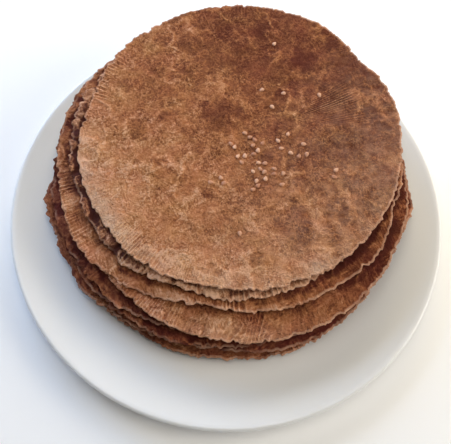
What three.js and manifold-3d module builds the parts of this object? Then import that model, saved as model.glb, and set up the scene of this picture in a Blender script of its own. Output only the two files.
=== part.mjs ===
// Khakhra on a plate: a leaning stack of thin, crisp, wavy flatbreads on a shallow white plate,
// with a pinch of sesame seeds on the top one.
// Millimetres, +Z up. The origin is the middle of the plate's foot, on the table. The front is -Y.
import * as THREE from "three";
import { mergeVertices } from "three/addons/utils/BufferGeometryUtils.js";
import Module from "manifold-3d";

// Plate
const PLATE_RADIUS = 125;
const PLATE_RIM_HEIGHT = 16;
const PLATE_FLOOR_RADIUS = 78;
const PLATE_FLOOR_HEIGHT = 5.5;
const PLATE_WALL = 3.5;
const PLATE_RISE_POWER = 1.7; // how late the floor turns up into the rim
const PLATE_RISE_STEPS = 5;
const PLATE_SEGMENTS = 60;
const LIP_RADIUS = PLATE_RADIUS - PLATE_WALL / 2; // where the upper face meets the round lip
const FOOT_RADIUS = 74;
const FOOT_WIDTH = 5;

// Every khakhra
const BREAD_THICKNESS = 1.6;
const BREAD_EDGE_THICKNESS = 1.1;
const BREAD_TAPER_POWER = 4; // how late the bread thins towards its edge
const BREAD_SEGMENTS = 70;
const BREAD_RINGS = [0.4, 0.7, 0.87, 1];
const BREAD_GAP = 0.8; // air kept between a bread and what it rests on
const REST_RINGS = 24; // rings and spokes of the places tested as a bread is lowered
const REST_SPOKES = 140;
const WAVE_COUNTS = [2, 3, 5, 8, 13]; // waves round the edge
const WAVE_HEIGHTS = [0.7, 0.65, 0.55, 0.5, 0.45];
const WAVE_REACH = 4; // the lower, the closer the fine waves stay to the edge

// The stack from the plate up. x and y place a bread's middle, and the tilts, in degrees, raise its
// right and its back. A bulge is [angle, half width, size]: degrees from the right, then how far
// the edge reaches past the round there, or falls short of it.
const BREADS = [
  {
    name: "khakhra_1", radius: 98.2, x: 0, y: 10.5, tiltRight: 0, tiltBack: 1.3, ruffle: 1, seed: 1100,
    bulges: [[297, 8, 1.2]],
  },
  {
    name: "khakhra_2", radius: 96.5, x: -9.8, y: 14.5, tiltRight: 0, tiltBack: 1.2, ruffle: 1, seed: 2900,
    bulges: [[183, 5, -3], [196, 7, 1.5], [230, 8, 1.5]],
  },
  {
    name: "khakhra_3", radius: 97.5, x: 6.8, y: 13, tiltRight: 0, tiltBack: 1.1, ruffle: 1, seed: 4200,
    bulges: [[323, 14, -3.6], [342, 9, -2.3], [359, 5, 1.5]],
  },
  {
    name: "khakhra_4", radius: 97, x: -3.5, y: 13, tiltRight: 0.2, tiltBack: 1, ruffle: 1, seed: 6700,
    bulges: [[260, 8, 1.2]],
  },
  {
    name: "khakhra_5", radius: 96, x: -7, y: 17.5, tiltRight: 0.4, tiltBack: 1, ruffle: 1, seed: 8100,
    bulges: [[179, 12, -2.5], [243, 7, 1.5]],
  },
  {
    name: "khakhra_6", radius: 91.6, x: 6.3, y: 9.5, tiltRight: 0.6, tiltBack: 0.9, ruffle: 0.7, seed: 9900,
    bulges: [[280, 9, 0.8], [353, 6, 0.8]],
  },
  {
    name: "khakhra_7", radius: 96.8, x: -2.2, y: 26, tiltRight: 0.9, tiltBack: 0.9, ruffle: 1, seed: 11800,
    bulges: [[85, 25, -4.5], [122, 20, -5], [147, 10, -3.2], [160, 14, -1.2], [222, 16, 3.5], [267, 16, -4.5],
      [326, 11, 3], [344, 5, -1.5]],
  },
  {
    name: "khakhra_8", radius: 89, x: -2.2, y: 26.2, tiltRight: 1.4, tiltBack: 0.9, ruffle: 1.2, seed: 13100,
    bulges: [[157, 6, -2], [209, 5, -1.5], [236, 4, 1.5], [258, 9, -2.5]],
  },
  {
    name: "khakhra_9", radius: 88.6, x: 2.2, y: 29.4, tiltRight: 2, tiltBack: 0.9, ruffle: 0.6, seed: 15700,
    bulges: [[19, 9, 1.2], [43, 9, -2.5], [75, 16, 1.5], [140, 6, 1], [172, 12, -1.8], [195, 16, 1.2],
      [240, 10, 1.5], [268, 10, -1.2], [295, 4, -1.4]],
  },
];

// Sesame seeds on the top khakhra: pinches of seeds round places measured from its middle
const SEED_LENGTH = 3;
const SEED_WIDTH = 2.2;
const SEED_HEIGHT = 1.3;
const SEED_SPACING = 2.6; // the least room between the middles of two seeds
const SEED_DRAW = 5;
const PINCHES = [
  { x: 4, y: -8, spread: 7, count: 12 },
  { x: 16, y: -25, spread: 7, count: 13 },
  { x: 27, y: -7, spread: 8, count: 7 },
  { x: -8, y: -30, spread: 4, count: 3 },
  { x: 16, y: 26, spread: 7, count: 3 },
  { x: 54, y: -21, spread: 4, count: 2 },
  { x: 42, y: 30, spread: 0, count: 1 },
  { x: 5, y: -58, spread: 0, count: 1 },
  { x: 14, y: 63, spread: 0, count: 1 },
];

const GLAZE = { color: 0xe6e7e6, roughness: 0.25, metalness: 0 };
const BREAD_BROWN = { color: 0x94623f, roughness: 0.85, metalness: 0 };

// Linear congruential generator
const RANDOM_FACTOR = 1664525;
const RANDOM_STEP = 1013904223;
const RANDOM_RANGE = 2 ** 32;

const FULL_TURN = 2 * Math.PI;
const SAME_VERTEX = 1e-4;
const radians = THREE.MathUtils.degToRad;

// Seeded random numbers from 0 to 1, the same in every run
function randomFrom(seed) {
  let state = seed;
  return () => {
    state = (RANDOM_FACTOR * state + RANDOM_STEP) % RANDOM_RANGE;
    return state / RANDOM_RANGE;
  };
}

// Height of the plate's upper face at a distance from its middle
function plateTop(radius) {
  const along = (radius - PLATE_FLOOR_RADIUS) / (LIP_RADIUS - PLATE_FLOOR_RADIUS);
  const rise = THREE.MathUtils.clamp(along, 0, 1) ** PLATE_RISE_POWER;
  return PLATE_FLOOR_HEIGHT + (PLATE_RIM_HEIGHT - PLATE_FLOOR_HEIGHT) * rise;
}

// The plate turned on a lathe: foot ring, outer wall, round lip, then the upper face back to the middle
function plateGeometry() {
  const floorUnder = PLATE_FLOOR_HEIGHT - PLATE_WALL;
  const profile = [
    [0, floorUnder],
    [FOOT_RADIUS - FOOT_WIDTH, floorUnder],
    [FOOT_RADIUS - FOOT_WIDTH, 0],
    [FOOT_RADIUS, 0],
    [FOOT_RADIUS + FOOT_WIDTH / 2, floorUnder],
  ];
  const rise = (step) =>
    PLATE_FLOOR_RADIUS + ((LIP_RADIUS - PLATE_FLOOR_RADIUS) * step) / PLATE_RISE_STEPS;
  for (let step = 1; step <= PLATE_RISE_STEPS; step++) {
    profile.push([rise(step), plateTop(rise(step)) - PLATE_WALL]);
  }
  profile.push([PLATE_RADIUS, PLATE_RIM_HEIGHT - PLATE_WALL / 2]);
  for (let step = PLATE_RISE_STEPS; step >= 0; step--) {
    profile.push([rise(step), plateTop(rise(step))]);
  }
  profile.push([0, PLATE_FLOOR_HEIGHT]);
  const points = profile.map(([r, z]) => new THREE.Vector2(r, z));
  return new THREE.LatheGeometry(points, PLATE_SEGMENTS).rotateX(Math.PI / 2);
}

// A bread's waves: each count of waves round the edge, at a drawn phase
function drawWaves(bread) {
  const random = randomFrom(bread.seed);
  return WAVE_COUNTS.map((count, i) => ({
    count,
    height: WAVE_HEIGHTS[i] * bread.ruffle,
    phase: FULL_TURN * random(),
  }));
}

// Distance from a bread's middle to its edge at an angle
function edgeRadius(bread, angle) {
  let reach = bread.radius;
  for (const [at, halfWidth, size] of bread.bulges) {
    const turn = angle - radians(at);
    const away = Math.atan2(Math.sin(turn), Math.cos(turn));
    reach += size * Math.exp(-((away / radians(halfWidth)) ** 2));
  }
  return reach;
}

// Height of a bread's middle surface over its centre, at a share of the way out to the edge.
// The finer a wave, the closer it stays to the edge.
function breadRise(bread, share, angle) {
  const out = share * edgeRadius(bread, angle);
  let rise = out * Math.cos(angle) * Math.tan(radians(bread.tiltRight));
  rise += out * Math.sin(angle) * Math.tan(radians(bread.tiltBack));
  for (const wave of bread.waves) {
    rise += wave.height * share ** (1 + wave.count / WAVE_REACH) * Math.sin(wave.count * angle + wave.phase);
  }
  return rise;
}

// Half the thickness of a bread, less towards the edge
function halfThickness(share) {
  return (BREAD_THICKNESS - (BREAD_THICKNESS - BREAD_EDGE_THICKNESS) * share ** BREAD_TAPER_POWER) / 2;
}

// Height of a bread's upper face at a place in the plate's frame, or nothing past its edge
function breadTop(bread, x, y) {
  const angle = Math.atan2(y - bread.y, x - bread.x);
  const share = Math.hypot(x - bread.x, y - bread.y) / edgeRadius(bread, angle);
  return share > 1 ? -Infinity : bread.z + breadRise(bread, share, angle) + halfThickness(share);
}

// The height at which a bread's middle comes to rest, lowered straight down on the plate and the breads below
function restingHeight(bread, below) {
  let height = 0;
  for (let ring = 1; ring <= REST_RINGS; ring++) {
    const share = ring / REST_RINGS;
    for (let spoke = 0; spoke < REST_SPOKES; spoke++) {
      const angle = (FULL_TURN * spoke) / REST_SPOKES;
      const x = bread.x + share * edgeRadius(bread, angle) * Math.cos(angle);
      const y = bread.y + share * edgeRadius(bread, angle) * Math.sin(angle);
      const under = breadRise(bread, share, angle) - halfThickness(share);
      const supports = [plateTop(Math.hypot(x, y)), ...below.map((lower) => breadTop(lower, x, y))];
      height = Math.max(height, Math.max(...supports) + BREAD_GAP - under);
    }
  }
  return height;
}

// A bread as a closed solid: two faces split alike into rings and spokes, joined by a thin edge
function breadGeometry(bread) {
  const positions = [];
  const index = [];
  const faceVertices = 1 + BREAD_RINGS.length * BREAD_SEGMENTS;
  const vertex = (face, ring, spoke) =>
    face * faceVertices + (ring < 0 ? 0 : 1 + ring * BREAD_SEGMENTS + (spoke % BREAD_SEGMENTS));
  for (const side of [1, -1]) {
    positions.push(0, 0, breadRise(bread, 0, 0) + side * halfThickness(0));
    for (const share of BREAD_RINGS) {
      for (let spoke = 0; spoke < BREAD_SEGMENTS; spoke++) {
        const angle = (FULL_TURN * spoke) / BREAD_SEGMENTS;
        const out = share * edgeRadius(bread, angle);
        const z = breadRise(bread, share, angle) + side * halfThickness(share);
        positions.push(out * Math.cos(angle), out * Math.sin(angle), z);
      }
    }
  }
  for (let spoke = 0; spoke < BREAD_SEGMENTS; spoke++) {
    for (let ring = 0; ring < BREAD_RINGS.length; ring++) {
      for (const face of [0, 1]) {
        const inner = vertex(face, ring - 1, spoke);
        const innerNext = vertex(face, ring - 1, spoke + 1);
        const outer = vertex(face, ring, spoke);
        const outerNext = vertex(face, ring, spoke + 1);
        const triangles = [inner, outer, outerNext];
        if (ring > 0) {
          triangles.push(inner, outerNext, innerNext);
        }
        index.push(...(face ? triangles.reverse() : triangles));
      }
    }
    const rim = BREAD_RINGS.length - 1;
    const [top, topNext] = [vertex(0, rim, spoke), vertex(0, rim, spoke + 1)];
    const [under, underNext] = [vertex(1, rim, spoke), vertex(1, rim, spoke + 1)];
    index.push(top, under, underNext, top, underNext, topNext);
  }
  const geometry = new THREE.BufferGeometry();
  geometry.setAttribute("position", new THREE.Float32BufferAttribute(positions, 3));
  return geometry.setIndex(index);
}

// Where the sesame seeds lie on a bread: drawn round each pinch, clear of the seeds already there
function seedPlaces() {
  const random = randomFrom(SEED_DRAW);
  const places = [];
  for (const pinch of PINCHES) {
    let left = pinch.count;
    while (left > 0) {
      const out = pinch.spread * Math.sqrt(2 * random());
      const around = FULL_TURN * random();
      const place = {
        x: pinch.x + out * Math.cos(around),
        y: pinch.y + out * Math.sin(around),
        turn: FULL_TURN * random(),
      };
      const clear = places.every((other) => Math.hypot(other.x - place.x, other.y - place.y) > SEED_SPACING);
      if (clear) {
        places.push(place);
        left--;
      }
    }
  }
  return places;
}

// A sesame seed lying half sunk in the upper face of a bread
function seedGeometry(bread, place) {
  const z = breadTop(bread, bread.x + place.x, bread.y + place.y) - bread.z;
  const seed = new THREE.IcosahedronGeometry(1, 0);
  seed.scale(SEED_LENGTH / 2, SEED_WIDTH / 2, SEED_HEIGHT / 2);
  return seed.rotateZ(place.turn).translate(place.x, place.y, z);
}

const wasm = await Module();
wasm.setup();

// A closed geometry as a solid that can be joined to another
function solidFrom(geometry) {
  const bare = geometry.clone();
  bare.deleteAttribute("normal");
  bare.deleteAttribute("uv");
  const merged = mergeVertices(bare, SAME_VERTEX);
  return new wasm.Manifold(
    new wasm.Mesh({
      numProp: 3,
      vertProperties: merged.getAttribute("position").array,
      triVerts: new Uint32Array(merged.index.array),
    }),
  );
}

// A joined solid back as a geometry
function geometryFrom(solid) {
  const mesh = solid.getMesh();
  const geometry = new THREE.BufferGeometry();
  geometry.setAttribute("position", new THREE.BufferAttribute(mesh.vertProperties, 3));
  return geometry.setIndex(new THREE.BufferAttribute(mesh.triVerts, 1));
}

// A bread with the sesame seeds fused to its upper face
function seededBreadGeometry(bread) {
  let solid = solidFrom(breadGeometry(bread));
  for (const place of seedPlaces()) {
    solid = solid.add(solidFrom(seedGeometry(bread, place)));
  }
  return geometryFrom(solid);
}

function namedMesh(name, geometry, finish) {
  geometry.computeVertexNormals();
  const mesh = new THREE.Mesh(geometry, new THREE.MeshStandardMaterial(finish));
  mesh.name = name;
  return mesh;
}

const part = new THREE.Group();
part.add(namedMesh("plate", plateGeometry(), GLAZE));

const stack = [];
for (const values of BREADS) {
  const bread = { ...values, waves: drawWaves(values) };
  bread.z = restingHeight(bread, stack);
  stack.push(bread);
  const isTop = stack.length === BREADS.length;
  const geometry = isTop ? seededBreadGeometry(bread) : breadGeometry(bread);
  const mesh = namedMesh(bread.name, geometry, BREAD_BROWN);
  mesh.position.set(bread.x, bread.y, bread.z);
  part.add(mesh);
}

export default part;
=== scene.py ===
# Khakhra on a plate: the looks of a leaning stack of crisp flatbreads on their white plate.
# Sizes are millimetres, as in the solids, until a mesh is made in metres. Angles in the values below are
# degrees, against the clock from the right. The front is -Y.
import math
from dataclasses import dataclass, field

import bpy
import numpy as np
from mathutils import Matrix, Vector


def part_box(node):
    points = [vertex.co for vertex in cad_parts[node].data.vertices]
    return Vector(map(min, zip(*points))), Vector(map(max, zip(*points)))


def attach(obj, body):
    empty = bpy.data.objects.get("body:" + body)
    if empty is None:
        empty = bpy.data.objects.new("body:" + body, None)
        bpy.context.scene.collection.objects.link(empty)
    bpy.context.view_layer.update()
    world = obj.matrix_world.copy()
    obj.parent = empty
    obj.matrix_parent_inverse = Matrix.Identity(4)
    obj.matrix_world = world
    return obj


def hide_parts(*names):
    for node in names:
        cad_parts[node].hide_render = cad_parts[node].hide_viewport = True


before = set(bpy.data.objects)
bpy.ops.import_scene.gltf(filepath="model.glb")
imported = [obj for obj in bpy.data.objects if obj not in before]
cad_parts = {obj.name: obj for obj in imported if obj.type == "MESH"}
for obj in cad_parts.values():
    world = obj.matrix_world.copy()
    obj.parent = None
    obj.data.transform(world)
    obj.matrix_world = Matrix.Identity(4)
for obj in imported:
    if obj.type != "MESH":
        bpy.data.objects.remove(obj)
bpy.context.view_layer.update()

MM = 0.001
FULL_TURN = 2 * math.pi

# Camera of the photograph
CAMERA_LENS = 50
CAMERA_SENSOR = 36
CAMERA_ELEVATION = 67.8
CAMERA_ROLL = 6.33
CAMERA_DISTANCE = 361.1
CAMERA_TARGET = (-0.84, -10.2, 16)

# Plate
PLATE_RADIUS = 125
PLATE_RIM_HEIGHT = 16
PLATE_FLOOR_RADIUS = 78
PLATE_FLOOR_HEIGHT = 5.5
PLATE_WALL = 3.5
PLATE_RISE_POWER = 1.7
PLATE_RISE_STEPS = 24
PLATE_SEGMENTS = 192
LIP_RADIUS = PLATE_RADIUS - PLATE_WALL / 2
LIP_STEPS = 8
FOOT_RADIUS = 74
FOOT_WIDTH = 5
FOOT_ROUND = 0.8

# Every khakhra
BREAD_THICKNESS = 1.6
BREAD_EDGE_THICKNESS = 1.1
BREAD_TAPER_POWER = 4
SOLID_SEGMENTS = 70  # spokes and rings of the plain solid, whose lowest point gives its height
SOLID_RINGS = (0.4, 0.7, 0.87, 1)
WAVE_COUNTS = (2, 3, 5, 8, 13)
WAVE_HEIGHTS = (0.7, 0.65, 0.55, 0.5, 0.45)
WAVE_REACH = 4
TOP_ZONES = ((0.42, 48, 300), (0.85, 52, 600), (1, 24, 1200))  # outer share, rings and spokes of the mesh
LOWER_ZONES = ((0.72, 7, 250), (0.82, 8, 500), (1, 28, 1000))
UNDER_RINGS = ((1, 1), (0.97, 1), (0.92, 2), (0.8, 4), (0.5, 4), (0.2, 4))  # share and divisor of spokes
EDGE_ROUND = 0.25  # how far the edge bulges between the faces
EDGE_MARGIN = 1.02  # the share of the way out up to which a bread counts as a neighbour
GAP_SHARE = 0.42  # the part of the air between two breads that the relief of one may fill
LEAST_RELIEF = 0.02
MOST_RELIEF = 2

# Relief finer than the solids'. A row of noise gives its cell size, or its cells round the edge, then its
# weight, and the step from the bread's seed that draws it.
NOISE_CELLS = 256  # after which a noise over a plane repeats
NOISE_COSINE = 0.8  # of the angle at which its cells lie
NOISE_SINE = 0.6
SWELLS = ((15, 0.22, 10), (6, 0.18, 11), (2.6, 0.15, 12), (1.5, 0.09, 18))
FRILLS = ((38, 0.6, 8), (83, 0.7, 9))
FRILL_POWER = 12  # how close to the edge the frill stays
WRINKLE_PATHS = ((11, 1, 19), (5, 0.5, 20), (3, 0.15, 21))  # wrinkles run where these add up to 0
WRINKLE_WIDTH = 0.18  # as a sum of these
WRINKLE_HEIGHT = 0.5
WRINKLE_SHOWN = 0.4  # how much of them shows, on average
WRINKLE_CHANGES = ((17, 1, 22),)  # how that comes and goes
BLISTER_HEIGHT = 0.3
BLISTER_REACH = 4  # radii past which nothing of a blister shows
BLISTER_FADE = (0.3, 1.25)  # shares of its radius where its darkness fades
BLISTER_WOBBLES = ((5, 0.35, 13), (2, 0.25, 14))
RING_AT = 1.15  # the paler ring about a blister, as a share of its radius
RING_WIDTH = 0.18
RING_HEIGHT = 0.15
RING_STRENGTH = 1.5
SPOT_RADII = (2, 6)  # of the blisters drawn at random
SPOT_MOST_DARK = 0.55
TEETH = ((260, 0.35, 2), (470, 0.25, 3))
TEETH_FROM = 0.94  # the share of the way out where they begin
TORN_STEPS = ((43, 1.8, 23), (97, 0.9, 25))
TORN_SLANT = 0.9  # the part of a torn step that slants out, before it drops back
TORN_WANDER = 0.45  # how unevenly the steps lie, as a share of their length
SCALLOPS = 110  # round the edge
SCALLOP_WARPS = ((31, 2.5, 1), (83, 1.5, 15))
SCALLOP_DEPTH = 0.35
SCALLOP_CHANGES = ((47, 0.4, 16),)  # how much deeper and shallower they get
SCALLOP_POWER = 0.7  # below 1, for round scallops with sharp points between
SCALLOP_MEAN = 0.7
CHIPS = 16
CHIP_HALF_WIDTHS = (0.4, 1.2)
CHIP_DEPTHS = (0.4, 1.4)
RIDGE_SHARPNESS = 2  # how narrow the crests of the press ridges are, whose tops are 1
RIDGE_MEAN = 0.31  # their mean height
RIDGE_SPACINGS = ((60, 5, 7), (170, 1.5, 29))  # how unevenly they lie
RIDGE_ENDS = ((110, 0.05, 6),)  # how unevenly they end, as a share of the way out
RIDGE_FADE = 0.04  # over what share of the way out they end
RIDGE_SHOWN = 0.75
RIDGE_CHANGES = ((130, 0.6, 17),)
FAINT_RIDGES = (0.87, 0.95)  # shares of the way out where the fainter ridges begin
FAINT_SHOWN = -0.15
FAINT_CHANGES = ((19, 0.6, 5),)
LUMP_LENGTH = 10  # of the lumps where an edge has buckled, along the edge
LUMP_WIDTH = 7
LUMP_SCALLOP = 0.6  # how far a lump pushes the edge out, for each millimetre of its height
LUMP_SCALLOP_FROM = 0.5  # the height of a lump at which the edge stays where it is
LUMP_MEAN = 0.4
LUMP_STEEPNESS = 2
LUMP_WANDER = 0.3  # how unevenly they lie along the edge, as a share of their length
LUMP_MIDDLES = (0.1, 0.9)  # where the middle of a lump may lie in its cell
LUMPS_FROM = (0.8, 0.9)  # shares of the way out where they begin
OUTLINE_AT = 0.36  # the painted highlight round a lump's top, as a distance from its middle
OUTLINE_WIDTH = 0.08
CREASE_FADE = (0.42, 0.58)  # distances where the painted shade of the crease begins
LEFT_STRENGTH = 0.7  # how far round from the left the edges have buckled

# How much paler each form is than the crust about it, for each unit of its strength; some of these tones
# are painted light and shade, as marked below
# painted light and shade on the frill: paler where it rises, darker where it sinks
PAINTED_FRILL_LIGHT = 0.2
# partly a paler crust on the wrinkles, partly a painted highlight on their crests
PALER_WRINKLE = 0.28
PALER_RING = 0.12
PALER_BLISTER = -0.22
PAINTED_LUMP_LIGHT = 0.06
PAINTED_OUTLINE_HIGHLIGHT = 0.25
PAINTED_CREASE_SHADE = -0.24
MOST_BUCKLED = 1.4  # the height of lumps past which their painted light and shade grow no stronger
PAINTED_SHADE_FROM = 0.3  # the share of its reach up to which the painted shade under a bread is full
PAINTED_SHADE_CHANGES = ((8, 1, 28),)  # how unevenly it ends
PAINTED_SHADE_UNEVEN = (0.5, 1.7)  # how much everywhere, and how much more on the left
FLOUR_SHARES = (0.86, 1)  # shares of the way out where the flour begins
RIM_SHARES = (0.988, 0.995)  # the same for the pale edge, partly flour and partly a painted highlight
RIM_LIGHT_TURN = 0.4  # painted light: how much paler the edge is on the lit right, and less pale on the left
RIM_CHANGES = ((90, 0.5, 30),)  # how it comes and goes

# Crust: its colours by tone, the scales of its noises for each metre, and how much paler they make it
CRUST_COLOURS = (
    (0, (66, 26, 18)), (0.12, (88, 42, 28)), (0.25, (116, 66, 42)),
    (0.5, (161, 102, 64)), (0.75, (195, 136, 95)), (1, (222, 171, 135)),
)
FLOUR_COLOUR = (210, 176, 150)
# the pale edge's colour, partly flour and partly a painted highlight
RIM_FLOUR_AND_HIGHLIGHT_COLOUR = (222, 174, 144)
FLOUR_BREAKS = (2.2, -0.6)  # how the mottling breaks the flour up: a factor, and what is added
RIM_BREAKS = (1, 0.15)
MOST_FLOUR = 0.7
MOST_RIM = 0.9
GRAIN_SCALE = 900
PATCH_SCALE = 95  # of the patches where the grain is stronger or weaker
PATCH_LEVELS = (2.4, -0.2)  # a factor, and what is added
LEAST_PATCH = 0.3
GRAIN_BY_TONE = (1.1, 0.45)
MOST_BY_TONE = 0.95
MOTTLE_SCALE = 170
MOTTLE_ROUGHNESS = 0.65
CLOUD_SCALE = 36
RAISED_SCALE = 420
SUNK_SCALE = 330
HUE_SCALE = 80
PALER_GRAIN = 0.9
PALER_MOTTLE = 0.44
PALER_CLOUD = 0.4
PALER_RAISED = 0.3
PALER_SUNK = -0.18
# partly the crust's own tone, partly painted light and shade: paler ridge crests, darker grooves
PALER_RIDGE = 0.4
FIBRE_WIDTH = 0.06  # of the fine wrinkles, as the noise's distance from its mean
SCRATCH_TURNS = (0.6, 2)  # the two ways the fine scratches run, in radians
SCRATCH_STRETCH = 3  # their length for their width
SCRATCH_ROUGHNESS = 0.7
SCRATCH_WAY_SCALE = 110  # of the noise that picks one way or the other
SCRATCH_WAY_LEVELS = (8, -3.5)
DARKEST_BLEND = 0.3  # how softly the mottling stops at a bread's darkest tone
HUE_SPREAD = 0.02  # how far the colour turns towards red and gold, as a share of the colour circle
CRUST_ROUGHNESS = 0.8
CRUST_SPECULAR = 0.1
CRUST_BUMP = 0.9  # height of the finest relief, which is left to the shader
MOTTLE_BUMP = 1.5  # parts of that height, of which the grain is 1
FIBRE_BUMP = 0.3
RIDGE_BUMP = 0.4

# Glaze, skin of the seeds, and floor
GLAZE_COLOURS = ((0, (225, 225, 224)), (1, (229, 229, 228)))
GLAZE_TONE_SCALE = 10
GLAZE_GLOSS_SCALE = 15
GLAZE_ROUGHNESS = (0.04, 0.29)  # spread and least: below 0.28 the render shows hard-edged blotches
GLAZE_WAVE_SCALE = 12
GLAZE_WAVES = (0.03, 0.3)  # strength and height
SEED_COLOURS = ((0, (168, 111, 78)), (0.5, (193, 139, 106)), (1, (214, 165, 133)))
SEED_TINT_SCALE = 900
SEED_TINT_SPREAD = 0.5
SEED_ROUGHNESS = 0.5
SEED_SKIN_SCALE = 1500
SEED_SKIN = (0.2, 0.1)
FLOOR_COLOURS = ((0.3, (248, 248, 248)), (0.7, (250, 250, 250)))
FLOOR_TONE_SCALE = 3
FLOOR_ROUGHNESS = 0.9
FLOOR_HALF_SIDE = 3000
SHIFT_WAY = (1, 0.7, 1.3)  # the way in which shifted noises lie

# Random numbers drawn as for the solids
RANDOM_FACTOR = 1664525
RANDOM_STEP = 1013904223
RANDOM_RANGE = 2 ** 32


@dataclass
class Comb:
    """A stretch of the fine ridges that the press leaves across an edge."""
    at: float  # its angle
    half_width: float
    strength: float
    inner: float  # the share of the way out where the ridges begin
    count: int = 260  # ridges round the edge, if they went all the way
    lean: float = 0  # how far they lean over, against the clock from the edge inward
    outer: float = 1.2  # the share of the way out where they end, past 1 if they cross the edge


@dataclass
class Bread:
    """One khakhra. Its place, outline and waves are the solid's; the rest is its finish."""
    name: str
    radius: float
    x: float
    y: float
    tilt_right: float
    tilt_back: float
    ruffle: float
    seed: int
    bulges: list  # angle, half width, size of each place where the edge leaves the round
    tone: float = 0.26  # 0 dark roast, 1 pale
    darkest: float = 0.03  # the tone that the mottling stays above
    fade: tuple = (0, 0)  # how much paler towards the right and the back, over the bread's radius: partly an uneven roast, partly painted light and shade
    edge_fade: float = 0  # how much paler towards the edge
    cover: float = 0.1  # how much painted shade darkens it under the breads above and beside their edges
    shade_reach: float = 3  # how far out from under them the painted shade reaches
    film: tuple = (0, 0)  # how much more floury towards the right and the back, over the bread's radius
    rim: float = 0.7  # how much of the edge is pale, partly with flour and partly with a painted highlight
    ragged: float = 1  # size of the teeth of the edge
    frill: float = 0.6  # height of the small waves at the edge
    crumple: float = 0.3  # height of the lumps where the edge has buckled
    comb: float = 0.25  # height of the press ridges
    ridges: int = 260  # the fainter ridges round the edge, if they went all the way
    combs: list = field(default_factory=list)  # stretches of clear ridges
    flour: list = field(default_factory=list)  # angle, half width and strength of floury stretches
    roast_and_shade: list = field(default_factory=list)  # angle, half width and strength of darker stretches: partly a darker roast, partly painted shade
    blisters: list = field(default_factory=list)  # x, y, radius and darkness, from the bread's middle
    spots: int = 90  # more blisters, drawn at random
    grainy: float = 1  # strength of the mottling
    gritty: float = 1  # strength of the finest grain
    redder: float = 0  # turn of its colour towards red, as a share of the colour circle
    greyer: float = 0  # how much less saturated its colour is
    z: float = 0  # height of its middle, taken from the solid


# Finish that the five lowest breads share
LOW_FINISH = dict(ragged=1.5, crumple=0.5, grainy=0.3, gritty=1.4, redder=0.008)

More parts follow.
